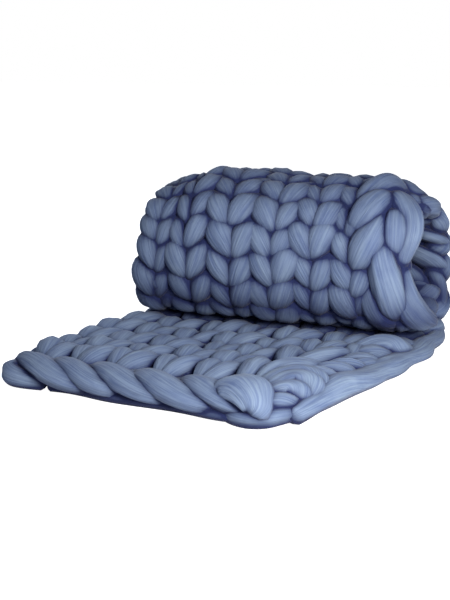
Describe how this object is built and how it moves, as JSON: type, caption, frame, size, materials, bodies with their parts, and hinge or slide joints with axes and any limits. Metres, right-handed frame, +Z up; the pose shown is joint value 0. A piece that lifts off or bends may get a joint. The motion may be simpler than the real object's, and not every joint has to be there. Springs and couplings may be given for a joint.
{
  "type": "chunky knit blanket",
  "caption": "Thick hand-knitted roving blanket of V-shaped stitches, lying flat in front and rolled up at the back into one open roll.",
  "frame": {"origin": "centre of the bounding box's bottom face, on the surface the blanket lies on", "axes": "+Z up; +X along the roll's axis; +Y from the front end of the flat flap towards the roll"},
  "size_m": [0.703, 0.709, 0.356],
  "materials": {
    "wool_roving": "matt unspun wool roving, denim blue with near-navy creases, soft fibre streaks along every strand"
  },
  "bodies": {
    "root": {"knit_blanket": "wool_roving"}
  },
  "joints": []
}
